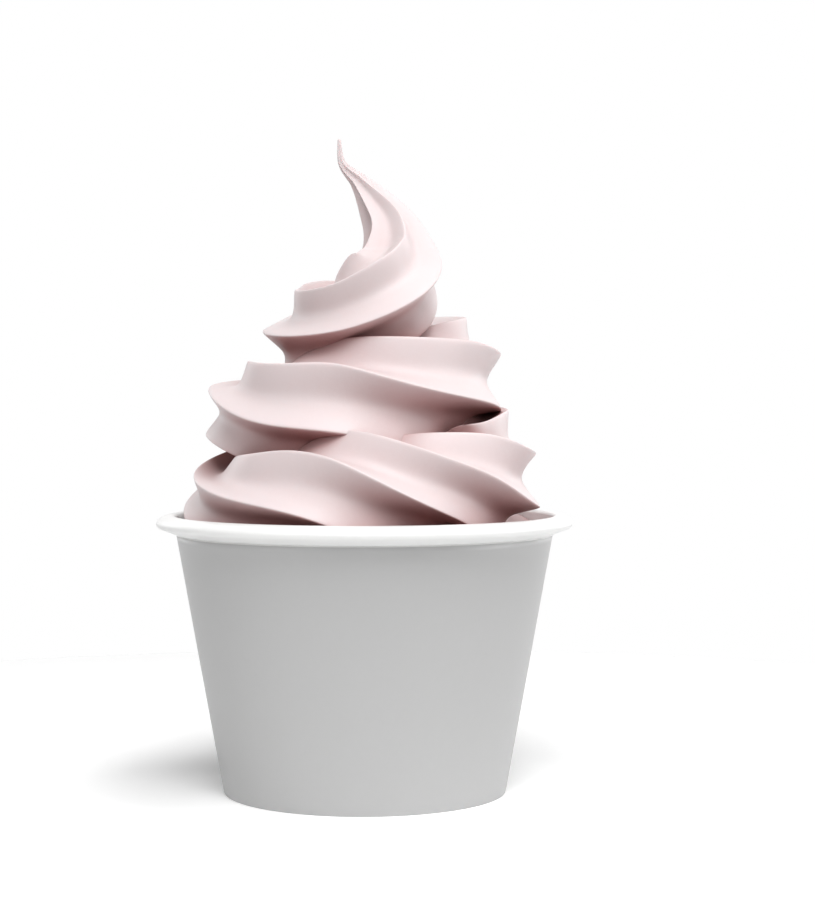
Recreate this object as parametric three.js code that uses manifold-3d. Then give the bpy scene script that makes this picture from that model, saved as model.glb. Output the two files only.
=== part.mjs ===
// A paper cup of frozen yogurt: a tapered paperboard cup with a rolled rim and a recessed base,
// filled with one rope of yogurt that a six-point star nozzle laid down in a rising coil.
// Millimetres, +Z up, the cup's axis on Z and its foot on Z = 0.
import * as THREE from "three";
import { mergeVertices } from "three/addons/utils/BufferGeometryUtils.js";
import Module from "manifold-3d";

// ---- driving dimensions -------------------------------------------------------------------
// the cup
const rimRadius = 47.5; // outermost reach of the rolled rim
const rimTopHeight = 63.4; // highest line of the roll
const rimTipHeight = 61.6; // height of the outermost line
const rimCrownRadius = 43.9; // radius of the highest line
const rimCornerBend = 1.1; // width of the bend from the outermost line to the roll's flat underside
const rimCornerDrop = 1.2; // height of that bend
const rimCornerTurn = 0.9; // how far the bend turns, in radians
const rimLipRound = 0.8; // rounding from the crown into the cup
const wallTopRadius = 43; // outside of the wall where the roll meets it
const wallTopHeight = 59.2;
const footRadius = 32.3; // outside of the wall on the table
const paper = 0.6; // wall paperboard, with its coating
const basePaper = 0.5; // paperboard of the base disc
const gap = 0.3; // clearance between pieces that touch
const footFloor = 0.8; // thickness of the fold under the base skirt
const hemHeight = 5; // the wall's inner hem, folded up inside the base
const baseHeight = 6; // underside of the recessed base

// the yogurt
const ridges = 6; // ridges that the star nozzle leaves along the rope
const valleyDepth = 0.345; // how far the valleys cut in, as a share of the ridge radius
const fillHeight = 54; // level of the yogurt packed inside the cup, under the first open turn
const coreGrip = 3; // how far the core stays inside the rope's centre line

// resolution
const aroundCup = 44;
const aroundRope = 24;
const stationSteps = 4; // rope sections from one station to the next
const lengthStations = 2; // stations that one length of rope runs past
const tuckSteps = 0.5; // each length starts this far inside the length before it,
const tuckScale = 0.97; // and this much thinner
const sliver = 0.08; // slivers thinner than this, left where lengths cross, are dropped

// Stations along the rope, from inside the cup to the tip. "turn" is the angle round the cup in
// degrees, rising anticlockwise seen from above; "reach" is the centre line's radius; "height" is
// its height; "roll" turns the star section, in degrees; "rope" is the radius out to the ridges;
// "lean" and "back" move the coil's axis along X and Y; "wide" stretches the section outward.
const stations = [
  { turn: -450, reach: 31.5, height: 46, roll: 585, rope: 12.7, lean: 0, back: -0.5, wide: 1 },
  { turn: -360, reach: 31.5, height: 50, roll: 525, rope: 12.7, lean: 0, back: -0.5, wide: 1 },
  { turn: -270, reach: 31.6, height: 67.2, roll: 481, rope: 13, lean: -0.4, back: -0.5, wide: 1 },
  { turn: -180, reach: 27.8, height: 66.2, roll: 411, rope: 10.6, lean: -3.7, back: -0.5, wide: 0.95 },
  { turn: -135, reach: 26.4, height: 65.8, roll: 376, rope: 12.2, lean: -5.5, back: -0.5, wide: 1 },
  { turn: -90, reach: 25.6, height: 67.7, roll: 340, rope: 15.4, lean: -5.7, back: -0.5, wide: 1 },
  { turn: -45, reach: 28.7, height: 69.7, roll: 266, rope: 12.9, lean: -3.6, back: -0.5, wide: 1 },
  { turn: -22, reach: 28.9, height: 69.4, roll: 226, rope: 15.6, lean: -1.5, back: -0.6, wide: 0.97 },
  { turn: 0, reach: 27.5, height: 74.8, roll: 190, rope: 13.1, lean: -0.8, back: -0.5, wide: 0.95 },
  { turn: 45, reach: 26.5, height: 80, roll: 161, rope: 12.6, lean: 1.7, back: 1.2, wide: 1 },
  { turn: 90, reach: 25.2, height: 82.3, roll: 145, rope: 12.6, lean: 3.5, back: 3, wide: 1 },
  { turn: 180, reach: 24.1, height: 86, roll: 98, rope: 11.6, lean: -1.7, back: 6.5, wide: 1.05 },
  { turn: 225, reach: 21.6, height: 86.8, roll: 54, rope: 13.5, lean: -3.1, back: 7, wide: 1 },
  { turn: 270, reach: 19.8, height: 87.3, roll: 40, rope: 15.8, lean: -4.6, back: 7.5, wide: 1 },
  { turn: 315, reach: 19.8, height: 91.4, roll: -2, rope: 14.6, lean: -2.8, back: 7.5, wide: 1 },
  { turn: 360, reach: 20, height: 92.8, roll: -21, rope: 14.8, lean: -0.3, back: 7.5, wide: 0.9 },
  { turn: 450, reach: 19.6, height: 101.3, roll: -85, rope: 13.4, lean: 6.5, back: 7.5, wide: 1 },
  { turn: 510, reach: 18, height: 104, roll: -163, rope: 14.2, lean: 7.5, back: 7.5, wide: 1 },
  { turn: 540, reach: 17.3, height: 102.6, roll: -168, rope: 13.6, lean: 6.7, back: 7.5, wide: 1 },
  { turn: 600, reach: 14.8, height: 107.5, roll: -199, rope: 11.4, lean: 4.4, back: 7.5, wide: 1 },
  { turn: 640, reach: 12.4, height: 114.1, roll: -204, rope: 12.1, lean: 3.4, back: 7.5, wide: 1 },
  { turn: 670, reach: 9.3, height: 120.3, roll: -203, rope: 10.3, lean: 1.5, back: 7.5, wide: 1 },
  { turn: 690, reach: 6.8, height: 128, roll: -198, rope: 7, lean: 0.3, back: 7.5, wide: 1 },
  { turn: 710, reach: 4, height: 134.6, roll: -183, rope: 4.5, lean: -1.3, back: 7.5, wide: 1 },
  { turn: 725, reach: 1.6, height: 140.2, roll: -166, rope: 2.1, lean: -3.1, back: 7.5, wide: 1 },
  { turn: 733, reach: -0.3, height: 144.2, roll: -154, rope: 0.95, lean: -4.9, back: 7.5, wide: 1 },
  { turn: 740, reach: -1.1, height: 149.8, roll: -143, rope: 0.4, lean: -4.9, back: 7.5, wide: 1 },
];

const paperWhite = 0xf4f4f2;
const yogurtPink = 0xe6d2d3;

const wasm = await Module();
wasm.setup();

// ---- helpers ------------------------------------------------------------------------------

// A closed three.js geometry as a solid that can be joined and cut.
function solidOf(geometry) {
  const bare = geometry.clone();
  bare.deleteAttribute("normal");
  bare.deleteAttribute("uv");
  const merged = mergeVertices(bare, 1e-4);
  const vertProperties = merged.attributes.position.array;
  const triVerts = new Uint32Array(merged.index.array);
  return new wasm.Manifold(new wasm.Mesh({ numProp: 3, vertProperties, triVerts }));
}

// A joined or cut solid back as a three.js geometry.
function geometryOf(solid) {
  const mesh = solid.getMesh();
  const geometry = new THREE.BufferGeometry();
  geometry.setAttribute("position", new THREE.BufferAttribute(mesh.vertProperties, 3));
  geometry.setIndex(new THREE.BufferAttribute(mesh.triVerts, 1));
  geometry.computeVertexNormals();
  return geometry;
}

// A profile of (radius, height) points turned about Z. It runs up the outside.
function turned(points) {
  return new THREE.LatheGeometry(points, aroundCup).rotateX(Math.PI / 2);
}

function namedMesh(name, geometry, colour, roughness) {
  const material = new THREE.MeshStandardMaterial({ color: colour, roughness, metalness: 0 });
  const mesh = new THREE.Mesh(geometry, material);
  mesh.name = name;
  return mesh;
}

// ---- the cup ------------------------------------------------------------------------------

const wallSlope = (wallTopRadius - footRadius) / wallTopHeight;

// Radius at a height of a surface that lies "inside" millimetres in from the wall's outside.
function wallRadius(height, inside) {
  return footRadius + wallSlope * height - inside;
}

const slotWidth = gap + basePaper + gap; // the base skirt's pocket in the foot

// Wall sheet: up the outside, over the rolled rim, down the inside, round the pocket for the
// base's skirt and down the inner hem to the flat foot.
function cupWall() {
  const hemOutside = paper + slotWidth;
  const hemInside = hemOutside + paper;
  const lipHeight = rimTopHeight - rimLipRound;
  const outline = new THREE.Path();
  outline.moveTo(wallRadius(0, 0), 0);
  outline.lineTo(wallTopRadius, wallTopHeight);
  outline.absellipse(
    rimRadius - rimCornerBend, rimTipHeight, rimCornerBend, rimCornerDrop,
    -rimCornerTurn, 0, false, 0,
  );
  outline.absellipse(
    rimCrownRadius, rimTipHeight, rimRadius - rimCrownRadius, rimTopHeight - rimTipHeight,
    0, Math.PI / 2, false, 0,
  );
  outline.absarc(rimCrownRadius, lipHeight, rimLipRound, Math.PI / 2, Math.PI, false);
  outline.lineTo(wallRadius(footFloor, paper), footFloor);
  outline.lineTo(wallRadius(footFloor, hemOutside), footFloor);
  outline.lineTo(wallRadius(hemHeight, hemOutside), hemHeight);
  outline.lineTo(wallRadius(hemHeight, hemInside), hemHeight);
  outline.lineTo(wallRadius(0, hemInside), 0);
  outline.closePath();
  return turned(outline.getPoints(4));
}

// Base disc with its skirt turned down into the foot's pocket.
function cupBase() {
  const skirtOutside = paper + gap;
  const skirtInside = skirtOutside + basePaper;
  const skirtFoot = footFloor + gap;
  const baseTop = baseHeight + basePaper;
  const bend = 1;
  const outline = new THREE.Path();
  outline.moveTo(0, baseHeight);
  outline.lineTo(wallRadius(baseHeight, skirtInside), baseHeight);
  outline.lineTo(wallRadius(skirtFoot, skirtInside), skirtFoot);
  outline.lineTo(wallRadius(skirtFoot, skirtOutside), skirtFoot);
  outline.lineTo(wallRadius(baseTop - bend, skirtOutside), baseTop - bend);
  outline.lineTo(wallRadius(baseTop, skirtOutside + bend), baseTop);
  outline.lineTo(0, baseTop);
  return turned(outline.getPoints(4));
}

// ---- the yogurt ---------------------------------------------------------------------------

// One quantity of the stations at any turn: a cubic through the stations, with the slope at each
// station taken from its two neighbours.
function along(quantity, turn) {
  const last = stations.length - 1;
  let index = 0;
  while (index < last - 1 && stations[index + 1].turn <= turn) index += 1;
  const slope = (at) => {
    const before = stations[Math.max(at - 1, 0)];
    const after = stations[Math.min(at + 1, last)];
    return (after[quantity] - before[quantity]) / (after.turn - before.turn);
  };
  const from = stations[index];
  const to = stations[index + 1];
  const span = to.turn - from.turn;
  const t = (turn - from.turn) / span;
  const rise = t * t * (3 - 2 * t);
  const leave = t * (1 - t) * (1 - t) * span * slope(index);
  const arrive = t * t * (t - 1) * span * slope(index + 1);
  return from[quantity] * (1 - rise) + to[quantity] * rise + leave + arrive;
}

function centreLine(turn) {
  const angle = THREE.MathUtils.degToRad(turn);
  const reach = along("reach", turn);
  return new THREE.Vector3(
    along("lean", turn) + reach * Math.cos(angle),
    along("back", turn) + reach * Math.sin(angle),
    along("height", turn),
  );
}

// Star section: ridges at 1 and parabolic valleys between them.
function starRadius(angle) {
  const pitch = (2 * Math.PI) / ridges;
  const fromRidge = Math.abs(angle / pitch - Math.round(angle / pitch)) * 2;
  return 1 - valleyDepth * (1 - (1 - fromRidge) ** 2);
}

// The turn at a place along the rope, where place 0 is the first station and 1 the second.
function turnAt(place) {
  const index = Math.min(Math.floor(place), stations.length - 2);
  const from = stations[index].turn;
  return from + (place - index) * (stations[index + 1].turn - from);
}

// A closed length of rope: a capped cylinder whose rings are laid along the centre line, each
// turned by its roll. "outward" and "upward" are the section's two directions.
function ropeLength(firstPlace) {
  const lastPlace = firstPlace + lengthStations;
  const steps = lengthStations * stationSteps + 1;
  const rope = new THREE.CylinderGeometry(1, 1, steps, aroundRope, steps);
  const position = rope.attributes.position;
  const point = new THREE.Vector3();
  for (let i = 0; i < position.count; i += 1) {
    const step = steps / 2 - position.getY(i);
    const place = firstPlace + (step - tuckSteps) / stationSteps;
    const turn = turnAt(THREE.MathUtils.clamp(place, 0, lastPlace));
    const share = Math.hypot(position.getX(i), position.getZ(i));
    const angle = Math.atan2(position.getX(i), position.getZ(i));
    const ahead = centreLine(turn + 0.5).sub(centreLine(turn - 0.5)).normalize();
    const radial = THREE.MathUtils.degToRad(turn);
    const outward = new THREE.Vector3(Math.cos(radial), Math.sin(radial), 0);
    outward.addScaledVector(ahead, -outward.dot(ahead)).normalize();
    const upward = new THREE.Vector3().crossVectors(outward, ahead);
    const scale = step < tuckSteps ? tuckScale : 1;
    const radius = along("rope", turn) * starRadius(angle) * share * scale;
    const roll = THREE.MathUtils.degToRad(along("roll", turn)) + angle;
    point.copy(centreLine(turn));
    point.addScaledVector(outward, radius * Math.cos(roll) * along("wide", turn));
    point.addScaledVector(upward, radius * Math.sin(roll));
    position.setXYZ(i, point.x, point.y, point.z);
  }
  return rope;
}

// Core that closes the middle of the coil: it follows the centre line's radius and height.
function core() {
  const points = [new THREE.Vector2(0, fillHeight - gap)];
  points.push(new THREE.Vector2(stations[0].reach - coreGrip, fillHeight - gap));
  for (let turn = -270; turn <= 450; turn += 90) {
    const radius = Math.max(along("reach", turn) - coreGrip, 1);
    points.push(new THREE.Vector2(radius, along("height", turn)));
  }
  points.push(new THREE.Vector2(0, along("height", 450) + 1));
  return turned(points);
}

// Room inside the paper for the yogurt, up to a height above the whole swirl.
function cupInside() {
  const bottom = baseHeight + basePaper + gap;
  const top = 200;
  const inset = paper + gap;
  return turned([
    new THREE.Vector2(0, bottom),
    new THREE.Vector2(wallRadius(bottom, inset), bottom),
    new THREE.Vector2(wallRadius(top, inset), top),
    new THREE.Vector2(0, top),
  ]);
}

// Yogurt packed level inside the cup, wider than the cup until it is trimmed.
function packedFill() {
  const fill = new THREE.CylinderGeometry(rimRadius, rimRadius, fillHeight, aroundCup);
  return fill.rotateX(Math.PI / 2).translate(0, 0, fillHeight / 2);
}

function yogurt() {
  let whole = solidOf(packedFill()).add(solidOf(core()));
  for (let place = 0; place < stations.length - 1; place += lengthStations) {
    whole = whole.add(solidOf(ropeLength(place)));
  }
  const trimmed = whole.intersect(solidOf(cupInside())).asOriginal().simplify(sliver);
  const bodies = trimmed.decompose().filter((body) => body.volume() > 0);
  bodies.sort((a, b) => b.volume() - a.volume());
  return geometryOf(bodies[0]);
}

// ---- the object ---------------------------------------------------------------------------

const group = new THREE.Group();
group.add(namedMesh("cup_wall", cupWall(), paperWhite, 0.6));
group.add(namedMesh("cup_base", cupBase(), paperWhite, 0.6));
group.add(namedMesh("yogurt", yogurt(), yogurtPink, 0.45));
export default group;
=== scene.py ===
# %% [markdown]
# # A cup of frozen yogurt
#
# The object is a tapered paper cup with a rolled rim, filled with a swirl of pale pink frozen
# yogurt. The swirl is one thick rope that a star-shaped nozzle laid down in a rising coil, and it
# ends in a thin tip, drawn out upward. The construction model already holds the cup and the swirl
# as plain solids at their real size. This script gives each one its finished surface, in the same
# frame: metres, +Z up, the cup's axis on Z and its foot on the ground.

# %% The frame that everything stands in
import math

import bpy
import numpy as np
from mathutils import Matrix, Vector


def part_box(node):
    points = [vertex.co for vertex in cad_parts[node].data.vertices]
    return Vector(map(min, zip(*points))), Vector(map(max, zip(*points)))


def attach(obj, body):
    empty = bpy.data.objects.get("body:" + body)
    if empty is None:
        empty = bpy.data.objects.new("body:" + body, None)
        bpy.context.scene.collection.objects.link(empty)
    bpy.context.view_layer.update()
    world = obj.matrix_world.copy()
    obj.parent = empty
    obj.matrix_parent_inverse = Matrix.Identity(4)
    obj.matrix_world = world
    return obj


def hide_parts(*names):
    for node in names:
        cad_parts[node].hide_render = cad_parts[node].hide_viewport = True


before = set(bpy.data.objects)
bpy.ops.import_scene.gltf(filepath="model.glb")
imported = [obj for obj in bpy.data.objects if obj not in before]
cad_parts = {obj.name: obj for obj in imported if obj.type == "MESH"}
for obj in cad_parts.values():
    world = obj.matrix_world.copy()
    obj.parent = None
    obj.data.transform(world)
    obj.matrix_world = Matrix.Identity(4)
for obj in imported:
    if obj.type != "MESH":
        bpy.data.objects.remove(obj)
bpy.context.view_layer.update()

MM = 0.001

# %% [markdown]
# ## Small tools
#
# A few helpers serve the whole script. One turns a colour as a paint chart gives it, in sRGB hex,
# into the linear numbers that the renderer adds and multiplies. One starts an empty material, and
# one adds a single shader node with its settings and its links, so that a material reads as a list
# of what it is made of. The last turns a grid of points into a mesh. The Mix node has a set of
# sockets for each kind of data, so its sockets are named here by their numbers.

# %% Colour and node helpers
MIX_SHARE, MIX_FIRST, MIX_SECOND, MIX_RESULT = 0, 6, 7, 2  # a Mix node's sockets for colours
NUMBER_FIRST, NUMBER_SECOND, NUMBER_RESULT = 2, 3, 0  # and its sockets for plain numbers


def linear(hex_colour):
    """An sRGB hex colour as linear red, green, blue and an alpha of 1."""
    parts = [int(hex_colour[i : i + 2], 16) / 255 for i in (1, 3, 5)]
    flat = [c / 12.92 if c <= 0.04045 else ((c + 0.055) / 1.055) ** 2.4 for c in parts]
    return (*flat, 1.0)


def add_node(tree, kind, values=None, links=None, **settings):
    """Adds a node: settings are its properties, values its unlinked sockets, links its sources."""
    node = tree.nodes.new(kind)
    for name, setting in settings.items():
        setattr(node, name, setting)
    for socket, value in (values or {}).items():
        node.inputs[socket].default_value = value
    for socket, source in (links or {}).items():
        tree.links.new(source, node.inputs[socket])
    return node


def new_material(name):
    """An empty node material and its tree."""
    material = bpy.data.materials.new(name)
    material.use_nodes = True
    material.node_tree.nodes.clear()
    return material, material.node_tree


print("white card is", [round(c, 3) for c in linear("#F4F4F2")])

# %% A mesh from a grid of points


def grid_piece(name, grid, ends, materials, row_material=None):
    """A closed mesh from points[row, column]: each row is a ring that closes on itself.

    ends is "ring" where the last row joins the first, and "poles" where the first and the last
    row each close on one point, the mean of that row.
    """
    rows, columns = grid.shape[:2]
    index = np.arange(rows * columns).reshape(rows, columns)
    if ends == "ring":
        index = np.vstack([index, index[:1]])
    beside = np.roll(index, -1, axis=1)
    quads = np.stack([index[:-1], beside[:-1], beside[1:], index[1:]], axis=-1).reshape(-1, 4)
    faces = quads.tolist()
    points = grid.reshape(-1, 3)
    if ends == "poles":
        first, last = rows * columns, rows * columns + 1
        points = np.vstack([points, grid[0].mean(axis=0), grid[-1].mean(axis=0)])
        faces += np.stack([beside[0], index[0], np.full(columns, first)], axis=-1).tolist()
        faces += np.stack([index[-1], beside[-1], np.full(columns, last)], axis=-1).tolist()
    mesh = bpy.data.meshes.new(name)
    mesh.from_pydata(points.tolist(), [], faces)
    for material in materials:
        mesh.materials.append(material)
    if row_material is not None:
        slots = np.repeat(row_material, columns).astype(np.int32)
        slots = np.concatenate([slots, np.zeros(len(faces) - len(slots), np.int32)])
        mesh.polygons.foreach_set("material_index", slots)
    mesh.shade_smooth()
    mesh.update()
    piece = bpy.data.objects.new(name, mesh)
    bpy.context.scene.collection.objects.link(piece)
    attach(piece, "root")
    print(f"{name}: {len(points)} points, {len(faces)} faces")
    return piece


# %% [markdown]
# ## The camera
#
# A long lens half a metre away, at about two thirds of the object's height. It looks very slightly
# down, so the rim shows as a thin ellipse and the cup's mouth is almost edge on. The camera comes
# first because every later step is judged through it.

# %% Camera
CAMERA_BACK = 495 * MM
CAMERA_HEIGHT = 91.5 * MM
CAMERA_DOWN = 1.66  # degrees
CAMERA_RIGHT = 1.13  # degrees
LENS = 85.8  # millimetres
SENSOR = 36  # millimetres across

camera_data = bpy.data.cameras.new("studio_camera")
camera_data.lens = LENS
camera_data.sensor_width = SENSOR
camera_data.clip_start = 0.01
camera_data.clip_end = 50
camera = bpy.data.objects.new("studio_camera", camera_data)
camera.location = (0, -CAMERA_BACK, CAMERA_HEIGHT)
camera.rotation_euler = (math.radians(90 - CAMERA_DOWN), 0, -math.radians(CAMERA_RIGHT))
bpy.context.scene.collection.objects.link(camera)
bpy.context.scene.camera = camera
print("camera", round(CAMERA_BACK * 1000), "mm back,", round(CAMERA_HEIGHT * 1000), "mm up")

# %% [markdown]
# ## Coated paperboard
#
# The cup is food board: white paper pulp pressed into a sheet and coated on both sides with a thin
# film of plastic. The coat gives it a smooth satin face that turns bright where it is seen edge on.
# Under the coat the pulp leaves a very faint mottle, about a millimetre and a half from patch to
# patch, with finer fibre inside it. The outside of the wall is printed all over in a light grey and
# the rolled rim keeps the bare white, so there are two finishes made by one function, with only the
# colour and the gloss changed.

# %% Paper material
PULP_PATCH = 1.4 * MM  # from patch to patch of the pulp's mottle
PULP_DEPTH = 0.02 * MM  # height of the fibre under the coat
PULP_STRENGTH = 0.25
PULP_SHADE = 0.975  # brightness of the darker patches beside the lighter ones
COAT_IOR = 1.5  # polyethylene film


def coated_paper(name, hex_colour, roughness):
    """Coated food board: a satin face over a faint mottle of pulp."""
    material, tree = new_material(name)
    where = add_node(tree, "ShaderNodeTexCoord")
    pulp = add_node(
        tree,
        "ShaderNodeTexNoise",
        {"Scale": 1 / PULP_PATCH, "Detail": 4.0, "Roughness": 0.6},
        {"Vector": where.outputs["Object"]},
    )
    base = linear(hex_colour)
    shade = add_node(
        tree,
        "ShaderNodeMix",
        {MIX_FIRST: tuple(c * PULP_SHADE for c in base[:3]) + (1,), MIX_SECOND: base},
        {MIX_SHARE: pulp.outputs["Fac"]},
        data_type="RGBA",
    )
    grain = add_node(
        tree,
        "ShaderNodeBump",
        {"Strength": PULP_STRENGTH, "Distance": PULP_DEPTH},
        {"Height": pulp.outputs["Fac"]},
    )
    board = add_node(
        tree,
        "ShaderNodeBsdfPrincipled",
        {"Roughness": roughness, "IOR": COAT_IOR},
        {"Base Color": shade.outputs[MIX_RESULT], "Normal": grain.outputs["Normal"]},
    )
    add_node(tree, "ShaderNodeOutputMaterial", {}, {"Surface": board.outputs["BSDF"]})
    return material


WHITE_BOARD = coated_paper("coated_white_paperboard", "#F2F2F1", 0.35)
GREY_PRINT = coated_paper("grey_printed_paperboard", "#B6B6B6", 0.38)
print("paper finishes:", WHITE_BOARD.name, GREY_PRINT.name)

# %% [markdown]
# ## The cup's wall
#
# A paper cup's wall is one sheet wrapped into a cone. Its top edge is rolled outward into a tight
# bead, and its bottom edge is folded in and up round the base, which leaves the flat ring that the
# cup stands on. It could be bent from a flat sheet with modifiers, but all of it is one outline
# turned about the cup's axis, so the piece is made as a profile of radius and height, carried round
# a circle. The rolled bead is flatter below than above: its underside runs out to a small corner,
# bends up to the outermost line, and goes over into the round crown. A fine groove marks where the
# roll's underside meets the wall.

# %% Measures of the cup, in millimetres
wall_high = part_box("cup_wall")[1]
RIM_RADIUS = wall_high[0] / MM
RIM_TOP = wall_high[2] / MM
RIM_TIP_HEIGHT = 61.6  # height of the outermost line
RIM_CROWN_RADIUS = 43.9  # radius of the highest line
RIM_CORNER = (46.5, 60.4)  # radius and height where the roll's underside ends
CORNER_BEND = 1.1  # width of the bend from there to the outermost line
CORNER_DROP = 1.2  # height of that bend
CORNER_TURN = 52  # degrees that it turns through
LIP_ROUND = 0.8
LIP_DROP = 2.0  # the inside is a plain cone from this far below the crown
WALL_TOP_RADIUS = 43.0
WALL_TOP_HEIGHT = 59.2
FOOT_RADIUS = 32.3
FOOT_EDGE = 1.0  # the straight wall starts this far above the foot's rounded edge
PAPER = 0.6
BASE_PAPER = 0.5
GAP = 0.3
FOOT_FOLD = 0.8
HEM_HEIGHT = 5.0
BASE_HEIGHT = 6.0
EDGE_ROUND = 0.25
GROOVE = 0.35  # depth and height of the groove under the roll
GROOVE_SLOPE = 0.6  # share of its height at which it is full depth
AROUND_CUP = 256
WALL_SLOPE = (WALL_TOP_RADIUS - FOOT_RADIUS) / WALL_TOP_HEIGHT
print("rim", round(2 * RIM_RADIUS, 1), "mm across, foot", 2 * FOOT_RADIUS, "mm across")
print("wall leans out", round(math.degrees(math.atan(WALL_SLOPE)), 1), "degrees")

# %% Profile helpers


def wall_radius(height, inside):
    """Radius of a cone that lies "inside" millimetres in from the wall's outside."""
    return FOOT_RADIUS + WALL_SLOPE * height - inside


def arc(centre, radii, start, stop, count):
    """Points on an ellipse from one angle to another, in degrees."""
    angle = np.radians(np.linspace(start, stop, count))
    return np.array(centre) + np.array(radii) * np.stack([np.cos(angle), np.sin(angle)], axis=-1)


def line(start, stop, count=2):
    """Points on a straight line."""
    return np.linspace(np.array(start, float), np.array(stop, float), count)


def wall_line(start, stop, inside, count):
    """Points on the wall's cone from one height to another, "inside" millimetres in."""
    ends = [(wall_radius(height, inside), height) for height in (start, stop)]
    return line(*ends, count)


def turned(profile):
    """A profile of radius and height in millimetres, carried round the Z axis, as a grid."""
    angle = np.linspace(0, 2 * math.pi, AROUND_CUP, endpoint=False)
    radius, height = profile[:, 0, None], profile[:, 1, None]
    x, y = radius * np.cos(angle), radius * np.sin(angle)
    return np.stack([x, y, np.broadcast_to(height, x.shape)], axis=-1) * MM


print("wall outside at mid height:", round(wall_radius(RIM_TOP / 2, 0), 1), "mm from the axis")

# %% Wall, rolled rim and foot
slot = GAP + BASE_PAPER + GAP
hem_outside = PAPER + slot
hem_inside = hem_outside + PAPER

edge_radii = (EDGE_ROUND, EDGE_ROUND)
groove_radius = WALL_TOP_RADIUS - GROOVE
foot = [
    arc((wall_radius(0, hem_inside - EDGE_ROUND), EDGE_ROUND), edge_radii, 180, 270, 5),
    arc((wall_radius(0, EDGE_ROUND), EDGE_ROUND), edge_radii, 270, 370, 6),
]
outside = [
    wall_line(FOOT_EDGE, WALL_TOP_HEIGHT - GROOVE, 0, 40),
    line(
        (groove_radius, WALL_TOP_HEIGHT - GROOVE_SLOPE * GROOVE),
        (groove_radius, WALL_TOP_HEIGHT),
    ),
]
bead = [
    line((WALL_TOP_RADIUS + GROOVE, WALL_TOP_HEIGHT), RIM_CORNER, 6),
    arc(
        (RIM_RADIUS - CORNER_BEND, RIM_TIP_HEIGHT),
        (CORNER_BEND, CORNER_DROP),
        -CORNER_TURN,
        0,
        12,
    ),
    arc(
        (RIM_CROWN_RADIUS, RIM_TIP_HEIGHT),
        (RIM_RADIUS - RIM_CROWN_RADIUS, RIM_TOP - RIM_TIP_HEIGHT),
        4,
        90,
        18,
    ),
    arc((RIM_CROWN_RADIUS, RIM_TOP - LIP_ROUND), (LIP_ROUND, LIP_ROUND), 100, 180, 8),
]
inside = [
    wall_line(RIM_TOP - LIP_DROP, FOOT_FOLD, PAPER, 30),
    wall_line(FOOT_FOLD, HEM_HEIGHT, hem_outside, 5),
    wall_line(HEM_HEIGHT, FOOT_EDGE, hem_inside, 5),
]
printed_from = len(foot[0]) + 2  # the print starts low on the foot's outer edge
printed_to = len(foot[0]) + len(foot[1]) + len(outside[0]) - 1
wall_profile = np.concatenate(foot + outside + bead + inside)
rows = np.arange(len(wall_profile))
row_material = ((rows >= printed_from) & (rows < printed_to)).astype(int)
cup_wall = grid_piece(
    "paper_wall", turned(wall_profile), "ring", [WHITE_BOARD, GREY_PRINT], row_material
)
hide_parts("cup_wall")

# %% [markdown]
# ## The base
#
# The base is a disc of the same board with its edge turned down into the foot's fold, so it sits a
# few millimetres above the table. A disc and a cylinder could be joined for it, but it is one sheet
# like the wall, so it is also one turned outline, with a small bend where the disc becomes the
# skirt. Its first and last ring close on the axis.

# %% Base disc with its skirt
BEND = 1.0  # radius of the bend from disc to skirt
SOFT_EDGE = 0.4  # the recess's inner corner is cut off by this much
CENTRE_HOLE = 0.5  # the rings stop here and close on one point at the axis
skirt_outside = PAPER + GAP
skirt_inside = skirt_outside + BASE_PAPER
skirt_foot = FOOT_FOLD + GAP
base_top = BASE_HEIGHT + BASE_PAPER
bend_radius = wall_radius(base_top, skirt_outside + BEND)

base_profile = np.concatenate(
    [
        line(
            (CENTRE_HOLE, BASE_HEIGHT),
            (wall_radius(BASE_HEIGHT, skirt_inside) - SOFT_EDGE, BASE_HEIGHT),
            14,
        ),
        wall_line(BASE_HEIGHT - SOFT_EDGE, skirt_foot, skirt_inside, 6),
        wall_line(skirt_foot, base_top - BEND, skirt_outside, 6),
        arc((bend_radius, base_top - BEND), (BEND, BEND), 20, 90, 6),
        line((bend_radius - BEND, base_top), (CENTRE_HOLE, base_top), 14),
    ]
)
cup_base = grid_piece("paper_base", turned(base_profile), "poles", [WHITE_BOARD])
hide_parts("cup_base")
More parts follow.
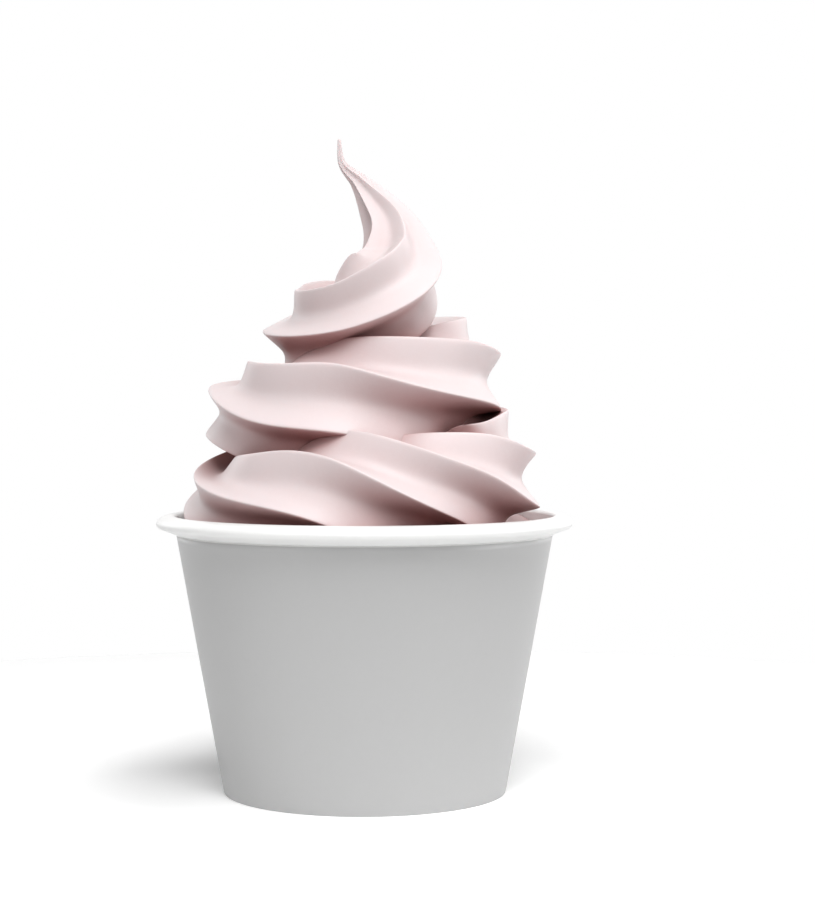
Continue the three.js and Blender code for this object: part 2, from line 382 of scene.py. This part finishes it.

# %% [markdown]
# ## Frozen yogurt
#
# Soft-served frozen yogurt is a dense foam of ice, milk and air. Light goes a millimetre or two
# into it and comes out warmer, so its shadows stay rosy and its thin ridges glow. Its skin is
# smooth and slightly wet, which gives a broad satin shine, and ice crystals too small to see one by
# one leave a fine tooth in it. Only the drawn-out tip is stretched smooth.
#
# The colour is a very pale dusty pink. In a narrow fold the light goes from wall to wall and takes
# up more of it each time, so folds look a deeper rose than open ridges. That shade is also painted
# into the colour: a ramp gives a painted shade for how open the surface is, deep rose in closed
# folds and under the turns, near white on free ridges. Two noises shift it a little: soft patches
# where the fruit is less evenly mixed, and the crystals.

# %% Measures and painted shades of the yogurt
CRYSTAL = 0.9 * MM  # ice crystals are finer still; this is as coarse as they need to be to show
PATCH = 18 * MM  # from one soft patch of colour to the next
PAINTED_SHADE_REACH = 25 * MM  # a fold narrower than this gets painted shade in its colour
PAINTED_SHADE_POWER = 1.2  # how fast the painted shade deepens as a fold closes
# how many rays measure how closed in the surface is, for the painted shade
PAINTED_SHADE_RAYS = 12
PATCH_SHARE = 0.06  # how far the patches shift the place on the ramp
CRYSTAL_SHARE = 0.05  # and how far the crystals do
TOOTH_DEPTH = 0.04 * MM
TOOTH_STRENGTH = 0.3
TIP_FROM = 124 * MM  # from this height up the tooth fades
TIP_TO = 134 * MM
SKIN_ROUGHNESS = 0.4
MILK_IOR = 1.4
SHINE = 0.3  # kept low, so that the swirl's edges don't wash out
SCATTER_SHARE = 0.15
SCATTER_DEPTH = 1.2 * MM
SCATTER_BY_COLOUR = (1.0, 0.55, 0.5)  # red light goes deepest
# place on the ramp, from a closed fold at 0 to the open at 1, and its colour there;
# the darker colours towards 0 are painted shade
PAINTED_SHADE_RAMP = [(0.0, "#9A706E"), (0.3, "#C09F9E"), (0.6, "#CFBBBB"), (0.8, "#DDD0D0"), (1.0, "#E5D7D8")]
print("yogurt shades:", [shade for place, shade in PAINTED_SHADE_RAMP])

# %% Yogurt material, with painted shade in its colour
yogurt_skin, tree = new_material("strawberry_frozen_yogurt")
where = add_node(tree, "ShaderNodeTexCoord")
patches = add_node(
    tree,
    "ShaderNodeTexNoise",
    {"Scale": 1 / PATCH, "Detail": 3.0, "Roughness": 0.5},
    {"Vector": where.outputs["Object"]},
)
crystals = add_node(
    tree,
    "ShaderNodeTexNoise",
    {"Scale": 1 / CRYSTAL, "Detail": 3.0, "Roughness": 0.65},
    {"Vector": where.outputs["Object"]},
)
# ambient occlusion measures how closed in the surface is; this sets the painted shade
painted_shade_occlusion = add_node(
    tree,
    "ShaderNodeAmbientOcclusion",
    {"Distance": PAINTED_SHADE_REACH},
    samples=PAINTED_SHADE_RAYS,
)
painted_shade_openness = add_node(
    tree,
    "ShaderNodeMath",
    {1: PAINTED_SHADE_POWER},
    {0: painted_shade_occlusion.outputs["AO"]},
    operation="POWER",
)
# the patches shift the place on the ramp; the sum carries painted shade as well as patches
mottle = add_node(
    tree,
    "ShaderNodeMath",
    {0: -PATCH_SHARE},
    {1: patches.outputs["Fac"], 2: painted_shade_openness.outputs["Value"]},
    operation="MULTIPLY_ADD",
)
painted_shade_and_speckle = add_node(
    tree,
    "ShaderNodeMath",
    {0: -CRYSTAL_SHARE},
    {1: crystals.outputs["Fac"], 2: mottle.outputs["Value"]},
    operation="MULTIPLY_ADD",
)
# the ramp gives the base colour: painted deep rose shade in closed folds, near white when open
painted_shade_tint = add_node(tree, "ShaderNodeValToRGB", {}, {"Fac": painted_shade_and_speckle.outputs["Value"]})
stops = painted_shade_tint.color_ramp.elements
stops[0].color = linear(PAINTED_SHADE_RAMP[0][1])
stops[1].position, stops[1].color = PAINTED_SHADE_RAMP[-1][0], linear(PAINTED_SHADE_RAMP[-1][1])
for position, shade in PAINTED_SHADE_RAMP[1:-1]:
    stops.new(position).color = linear(shade)
height = add_node(tree, "ShaderNodeSeparateXYZ", {}, {"Vector": where.outputs["Object"]})
stretched = add_node(
    tree,
    "ShaderNodeMapRange",
    {"From Min": TIP_FROM, "From Max": TIP_TO, "To Min": TOOTH_STRENGTH, "To Max": 0.0},
    {"Value": height.outputs["Z"]},
)
tooth = add_node(
    tree,
    "ShaderNodeBump",
    {"Distance": TOOTH_DEPTH},
    {"Height": crystals.outputs["Fac"], "Strength": stretched.outputs["Result"]},
)
cream = add_node(
    tree,
    "ShaderNodeBsdfPrincipled",
    {
        "Roughness": SKIN_ROUGHNESS,
        "IOR": MILK_IOR,
        "Specular IOR Level": SHINE,
        "Subsurface Weight": SCATTER_SHARE,
        "Subsurface Radius": SCATTER_BY_COLOUR,
        "Subsurface Scale": SCATTER_DEPTH,
    },
    {"Base Color": painted_shade_tint.outputs["Color"], "Normal": tooth.outputs["Normal"]},
)
add_node(tree, "ShaderNodeOutputMaterial", {}, {"Surface": cream.outputs["BSDF"]})
print("yogurt finish:", yogurt_skin.name)

# %% [markdown]
# ## The rope's path
#
# The nozzle moves round the cup about three times while it rises, and at the end it is pulled up
# and away. A plain helix would be too even: a hand slows down, leans and lets the rope bulge. So
# the path is given by stations. At each stands how far round the cup the nozzle is, how far out,
# how high, how the star is turned, how thick the rope comes, how far the coil's own axis has moved
# sideways and back, and how far the section is stretched outward. Most of these numbers were not
# chosen by hand: a separate program fitted them to the ridges of a real swirl, and only a few were
# changed afterwards. A smooth cubic runs through the stations. They are the stations of the
# construction model, so the surface lies where the solid lies.

# %% Stations and the cubic through them
#     turn  reach height  roll  rope  lean  back  wide
STATIONS = np.array([
    (-450, 31.5, 46.0, 585, 12.7, 0.0, -0.5, 1.0),
    (-360, 31.5, 50.0, 525, 12.7, 0.0, -0.5, 1.0),
    (-270, 31.6, 67.2, 481, 13.0, -0.4, -0.5, 1.0),
    (-180, 27.8, 66.2, 411, 10.6, -3.7, -0.5, 0.95),
    (-135, 26.4, 65.8, 376, 12.2, -5.5, -0.5, 1.0),
    (-90, 25.6, 67.7, 340, 15.4, -5.7, -0.5, 1.0),
    (-45, 28.7, 69.7, 266, 12.9, -3.6, -0.5, 1.0),
    (-22, 28.9, 69.4, 226, 15.6, -1.5, -0.6, 0.97),
    (0, 27.5, 74.8, 190, 13.1, -0.8, -0.5, 0.95),
    (45, 26.5, 80.0, 161, 12.6, 1.7, 1.2, 1.0),
    (90, 25.2, 82.3, 145, 12.6, 3.5, 3.0, 1.0),
    (180, 24.1, 86.0, 98, 11.6, -1.7, 6.5, 1.05),
    (225, 21.6, 86.8, 54, 13.5, -3.1, 7.0, 1.0),
    (270, 19.8, 87.3, 40, 15.8, -4.6, 7.5, 1.0),
    (315, 19.8, 91.4, -2, 14.6, -2.8, 7.5, 1.0),
    (360, 20.0, 92.8, -21, 14.8, -0.3, 7.5, 0.9),
    (450, 19.6, 101.3, -85, 13.4, 6.5, 7.5, 1.0),
    (510, 18.0, 104.0, -163, 14.2, 7.5, 7.5, 1.0),
    (540, 17.3, 102.6, -168, 13.6, 6.7, 7.5, 1.0),
    (600, 14.8, 107.5, -199, 11.4, 4.4, 7.5, 1.0),
    (640, 12.4, 114.1, -204, 12.1, 3.4, 7.5, 1.0),
    (670, 9.3, 120.3, -203, 10.3, 1.5, 7.5, 1.0),
    (690, 6.8, 128.0, -198, 7.0, 0.3, 7.5, 1.0),
    (710, 4.0, 134.6, -183, 4.5, -1.3, 7.5, 1.0),
    (725, 1.6, 140.2, -166, 2.1, -3.1, 7.5, 1.0),
    (733, -0.3, 144.2, -154, 0.95, -4.9, 7.5, 1.0),
    (740, -1.1, 149.8, -143, 0.4, -4.9, 7.5, 1.0),
])
TURN, REACH, HEIGHT, ROLL, ROPE, LEAN, BACK, WIDE = range(STATIONS.shape[1])


def along(column, turn):
    """One column of the stations at any turn: a cubic through them, whose slope at each station
    is that of the line between its two neighbours."""
    knots, values = STATIONS[:, TURN], STATIONS[:, column]
    before = np.maximum(np.arange(len(knots)) - 1, 0)
    after = np.minimum(np.arange(len(knots)) + 1, len(knots) - 1)
    slope = (values[after] - values[before]) / (knots[after] - knots[before])
    at = np.clip(np.searchsorted(knots, turn, side="right") - 1, 0, len(knots) - 2)
    span = knots[at + 1] - knots[at]
    t = (turn - knots[at]) / span
    rise = t * t * (3 - 2 * t)
    leave = t * (1 - t) ** 2 * span * slope[at]
    arrive = t * t * (t - 1) * span * slope[at + 1]
    return values[at] * (1 - rise) + values[at + 1] * rise + leave + arrive


def centre_line(turn):
    """Points on the rope's centre line: round the cup, at the reach and the height of each turn."""
    angle = np.radians(turn)
    x = along(LEAN, turn) + along(REACH, turn) * np.cos(angle)
    y = along(BACK, turn) + along(REACH, turn) * np.sin(angle)
    return np.stack([x, y, along(HEIGHT, turn)], axis=-1)


FINE_STEPS = 6000  # steps along the path for measuring it
fine_turns = np.linspace(STATIONS[0, TURN], STATIONS[-1, TURN], FINE_STEPS)
strides = np.linalg.norm(np.diff(centre_line(fine_turns), axis=0), axis=1)
print("rope", round(strides.sum()), "mm long, through", len(STATIONS), "stations")

# %% [markdown]
# ## The swirl
#
# The star section has six ridges with hollow valleys between them. Each valley is a parabola from
# one ridge to the next, and the ridge itself is rounded off a little, because soft yogurt cannot
# hold a knife edge. The section is carried along the path square to it and turned by the roll, so
# the ridges wind round the rope as it is laid. A curve with a bevel would make such a rope too, but
# it can't crowd its points where the shape needs them, which is along the ridges and at the thin
# tip. Each ring is evened out with its neighbours, so that no tight bend folds over. Towards the
# tip the valleys grow shallow, and the last rings close in a round end.

# %% Measures of the swirl
RIDGES = 6
VALLEY_DEPTH = 0.345  # as a share of the ridge radius
RIDGE_ROUND = 0.04  # as a share of half the way from ridge to ridge
AROUND_ROPE = 144  # points round one ring
GATHER = 1.4  # the power by which they gather at the ridges
ROPE_STEPS = 660  # rings along the rope
CROWD = 6.0  # rings crowd by this many millimetres over the rope's radius
THIN_ROPE = 0.5  # radius below which they crowd no further
FADE_ROPE = 1.2  # radius below which the valleys grow shallow
SOFT_RINGS = 4  # each ring is evened out with this many on either side
SOFT_TO = 620  # from this turn on the rope is drawn out thin and keeps its own shape
SOFT_FADE = 40  # degrees before that over which the evening out fades away
NEAR = 0.5  # degrees either side of a place, for the path's direction there
print("swirl:", ROPE_STEPS, "rings of", AROUND_ROPE, "points")

# %% Star section swept along the path


def star(angle, valley):
    """Share of the ridge radius at an angle: 1 on a ridge, falling in a parabola to the valley."""
    pitch = 2 * math.pi / RIDGES
    from_ridge = np.abs(angle / pitch - np.round(angle / pitch)) * 2
    soft = np.sqrt(from_ridge**2 + RIDGE_ROUND**2) - RIDGE_ROUND
    soft /= math.sqrt(1 + RIDGE_ROUND**2) - RIDGE_ROUND
    return 1 - valley * (1 - (1 - soft) ** 2)


def kept_in_cup(points):
    """Points lower than the rim that lie outside the cup's mouth are drawn in to its wall."""
    radius = np.hypot(points[..., 0], points[..., 1])
    room = wall_radius(np.minimum(points[..., 2], RIM_TOP), PAPER + GAP)
    share = np.where(points[..., 2] < RIM_TOP, np.minimum(room / radius, 1), 1)
    points[..., :2] *= share[..., None]
    return points


def swirl_grid():
    """The rope's surface, one ring for each step along the path.

    A point of a ring is the centre, plus the star's radius times the cosine of its rolled angle
    along "outward", plus the radius times the sine along "upward". Over the last stretch, "left"
    long, the radius closes in a quarter circle. Each ring is then blended with the mean of its
    neighbours, and what would lie outside the paper is drawn in.
    """
    crowding = 1 + CROWD / np.maximum(along(ROPE, fine_turns[1:]), THIN_ROPE)
    count = np.concatenate([[0], np.cumsum(strides * crowding)])
    turn = np.interp(np.linspace(0, count[-1], ROPE_STEPS), count, fine_turns)
    centre = centre_line(turn)
    ahead = centre_line(turn + NEAR) - centre_line(turn - NEAR)
    ahead /= np.linalg.norm(ahead, axis=1, keepdims=True)
    angle = np.radians(turn)
    outward = np.stack([np.cos(angle), np.sin(angle), np.zeros_like(angle)], axis=-1)
    outward -= ahead * (outward * ahead).sum(axis=1, keepdims=True)
    outward /= np.linalg.norm(outward, axis=1, keepdims=True)
    upward = np.cross(outward, ahead)
    outward *= along(WIDE, turn)[:, None]
    across = np.linspace(-1, 1, AROUND_ROPE // RIDGES, endpoint=False)
    across = np.sign(across) * np.abs(across) ** GATHER * math.pi / RIDGES
    around = (np.arange(RIDGES)[:, None] * 2 * math.pi / RIDGES + across).ravel()
    rope = along(ROPE, turn)
    left = np.linalg.norm(centre - centre[-1], axis=1)
    rope = np.where(left < rope, np.sqrt(np.maximum(2 * rope * left - left**2, 0)), rope)
    valley = VALLEY_DEPTH * np.clip(rope / FADE_ROPE, 0, 1)
    radius = rope[:, None] * star(around[None, :], valley[:, None])
    rolled = np.radians(along(ROLL, turn))[:, None] + around
    section = (
        outward[:, None] * (radius * np.cos(rolled))[..., None]
        + upward[:, None] * (radius * np.sin(rolled))[..., None]
    )
    surface = centre[:, None] + section
    padded = np.pad(surface, ((SOFT_RINGS, SOFT_RINGS), (0, 0), (0, 0)), mode="edge")
    window = 2 * SOFT_RINGS + 1
    soft = sum(padded[step : step + ROPE_STEPS] for step in range(window)) / window
    share = np.clip((SOFT_TO - turn) / SOFT_FADE, 0, 1)[:, None, None]
    return kept_in_cup(surface + (soft - surface) * share) * MM


swirl = grid_piece("yogurt_swirl", swirl_grid(), "poles", [yogurt_skin])
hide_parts("yogurt")

# %% [markdown]
# ## The yogurt packed in the cup
#
# Below the first open turn the cup is simply full. Hardly any of it shows, so it is a plain turned
# outline that follows the inside of the wall, level on top and rounded at its edge.

# %% Packed yogurt
FILL_HEIGHT = 54.0
FILL_ROUND = 1.2  # rounding at the top edge
FILL_EDGE = 1.0  # the straight sides stop this far from the bottom and the top
fill_bottom = base_top + GAP
fill_edge = wall_radius(FILL_HEIGHT, PAPER + GAP)
fill_profile = np.concatenate(
    [
        line((CENTRE_HOLE, fill_bottom), (wall_radius(fill_bottom, PAPER + GAP), fill_bottom), 8),
        wall_line(fill_bottom + FILL_EDGE, FILL_HEIGHT - FILL_EDGE, PAPER + GAP, 12),
        arc(
            (fill_edge - FILL_ROUND, FILL_HEIGHT - FILL_ROUND),
            (FILL_ROUND, FILL_ROUND),
            20,
            90,
            6,
        ),
        line((fill_edge - 2 * FILL_ROUND, FILL_HEIGHT), (CENTRE_HOLE, FILL_HEIGHT), 10),
    ]
)
packed = grid_piece("packed_yogurt", turned(fill_profile), "poles", [yogurt_skin])
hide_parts("yogurt")

# %% [markdown]
# ## Floor and studio light
#
# The cup stands on a plain white round table top in a white room. The camera sees the table a
# little brighter than the cup does, so its edge melts into the room while the soft shadow by the
# foot stays. The room is full white to the camera and in reflections, which puts a bright line
# along the edges of the coated paper, and gives only a faint fill otherwise. Nine soft square
# lights do the rest: the strongest hang above and in front, some a little to the right, so the
# shadow lies short and soft to the left of the foot. The one at the right brightens that side, and
# two behind keep the back from going dark. The powers of the other seven came out of a separate
# least-squares program, and were then rounded or changed a little.

# %% Floor
FLOOR_RADIUS = 0.27
AROUND_FLOOR = 96
TABLE_WHITE = linear("#FAFAFA")
TABLE_GAIN = 1.2  # how much brighter the camera sees it
TABLE_SEEN = tuple(c * TABLE_GAIN for c in TABLE_WHITE[:3]) + (1,)
edge = np.linspace(0, 2 * math.pi, AROUND_FLOOR, endpoint=False)
corners = np.stack([np.cos(edge), np.sin(edge), 0 * edge], axis=-1) * FLOOR_RADIUS
floor_mesh = bpy.data.meshes.new("studio_floor")
floor_mesh.from_pydata(corners.tolist(), [], [tuple(range(len(corners)))])
floor = bpy.data.objects.new("studio_floor", floor_mesh)
bpy.context.scene.collection.objects.link(floor)
floor_paint, tree = new_material("matt_white_table")
looked_at = add_node(tree, "ShaderNodeLightPath")
white = add_node(
    tree,
    "ShaderNodeMix",
    {MIX_FIRST: TABLE_WHITE, MIX_SECOND: TABLE_SEEN},
    {MIX_SHARE: looked_at.outputs["Is Camera Ray"]},
    data_type="RGBA",
)
paint = add_node(tree, "ShaderNodeBsdfDiffuse", {}, {"Color": white.outputs[MIX_RESULT]})
add_node(tree, "ShaderNodeOutputMaterial", {}, {"Surface": paint.outputs["BSDF"]})
floor_mesh.materials.append(floor_paint)
print("table", 2 * FLOOR_RADIUS, "m across")

# %% Lights
CUP_MIDDLE = (0, 0, 0.08)
# name, side in metres, power in watts, position in metres
SOFT_LIGHTS = [
    ("top_softbox", 0.6, 8.7, (0, -0.65, 1.0)),
    ("key_softbox", 0.4, 2.3, (0.35, -0.2, 1.05)),
    ("high_softbox", 0.35, 1.25, (0.18, 0, 1.15)),
    ("corner_softbox", 0.6, 1.3, (0.5, -0.5, 1.0)),
    ("right_softbox", 0.6, 4.9, (1.15, -0.1, 0.3)),
    ("left_softbox", 0.6, 2.5, (-0.75, -0.75, 0.45)),
    ("front_softbox", 0.6, 1.8, (0, -1.15, 0.3)),
    ("back_left_strip", 0.6, 1.8, (-0.8, 0.85, 0.35)),
    ("back_right_strip", 0.6, 1.8, (0.8, 0.85, 0.35)),
]
for name, side, power, position in SOFT_LIGHTS:
    data = bpy.data.lights.new(name, "AREA")
    data.size = side
    data.energy = power
    lamp = bpy.data.objects.new(name, data)
    lamp.location = position
    reach = np.array(CUP_MIDDLE) - np.array(position)
    flat = math.hypot(reach[0], reach[1])
    lamp.rotation_euler = (math.atan2(flat, -reach[2]), 0, math.atan2(-reach[0], reach[1]))
    bpy.context.scene.collection.objects.link(lamp)
print(len(SOFT_LIGHTS), "soft lights,", sum(light[2] for light in SOFT_LIGHTS), "watts in all")

# %% The white room
ROOM_FILL = 0.05
room = bpy.data.worlds.new("white_room")
room.use_nodes = True
sky = room.node_tree.nodes["Background"]
sky.inputs["Color"].default_value = (1, 1, 1, 1)
seen = add_node(room.node_tree, "ShaderNodeLightPath")
mirrored = add_node(
    room.node_tree,
    "ShaderNodeMath",
    {},
    {0: seen.outputs["Is Camera Ray"], 1: seen.outputs["Is Glossy Ray"]},
    operation="MAXIMUM",
)
fill = add_node(
    room.node_tree,
    "ShaderNodeMix",
    {NUMBER_FIRST: ROOM_FILL, NUMBER_SECOND: 1.0},
    {MIX_SHARE: mirrored.outputs["Value"]},
    data_type="FLOAT",
)
room.node_tree.links.new(fill.outputs[NUMBER_RESULT], sky.inputs["Strength"])
bpy.context.scene.world = room
bpy.context.scene.view_settings.view_transform = "Standard"
print("room fill", ROOM_FILL)
